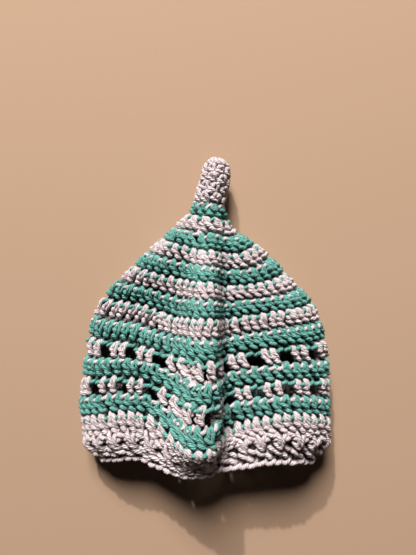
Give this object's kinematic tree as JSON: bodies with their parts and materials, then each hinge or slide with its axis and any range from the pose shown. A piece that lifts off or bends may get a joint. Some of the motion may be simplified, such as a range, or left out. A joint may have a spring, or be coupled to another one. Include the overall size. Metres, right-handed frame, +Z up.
{
  "type": "crocheted nightcap",
  "caption": "Crocheted striped nightcap with a narrow stem at the crown, eyelet rounds and a ribbed brim, lying on its back with a raised fold along its front.",
  "frame": {"origin": "middle of the cap's box, on the surface it lies on", "axes": "+Y from the mouth towards the stem, +Z up through the front layer's fold, +X towards the right side of the cap seen from above with the stem up"},
  "size_m": [0.2004, 0.2426, 0.0609],
  "materials": {
    "yarn_grey": "smooth plied yarn, light pinkish grey",
    "yarn_green": "smooth plied yarn, sea green"
  },
  "bodies": {
    "root": {"stem_grey": "yarn_grey", "round_01_green": "yarn_green", "round_02_grey": "yarn_grey", "round_03_green": "yarn_green", "round_04_grey": "yarn_grey", "round_05_green": "yarn_green", "round_06_grey": "yarn_grey", "round_07_green": "yarn_green", "round_08_grey": "yarn_grey", "round_09_green": "yarn_green", "round_10_grey_eyelet": "yarn_grey", "round_11_green": "yarn_green", "round_12_grey_eyelet": "yarn_grey", "round_13_green": "yarn_green", "brim_round_1_grey": "yarn_grey", "brim_round_2_grey": "yarn_grey"}
  },
  "joints": []
}
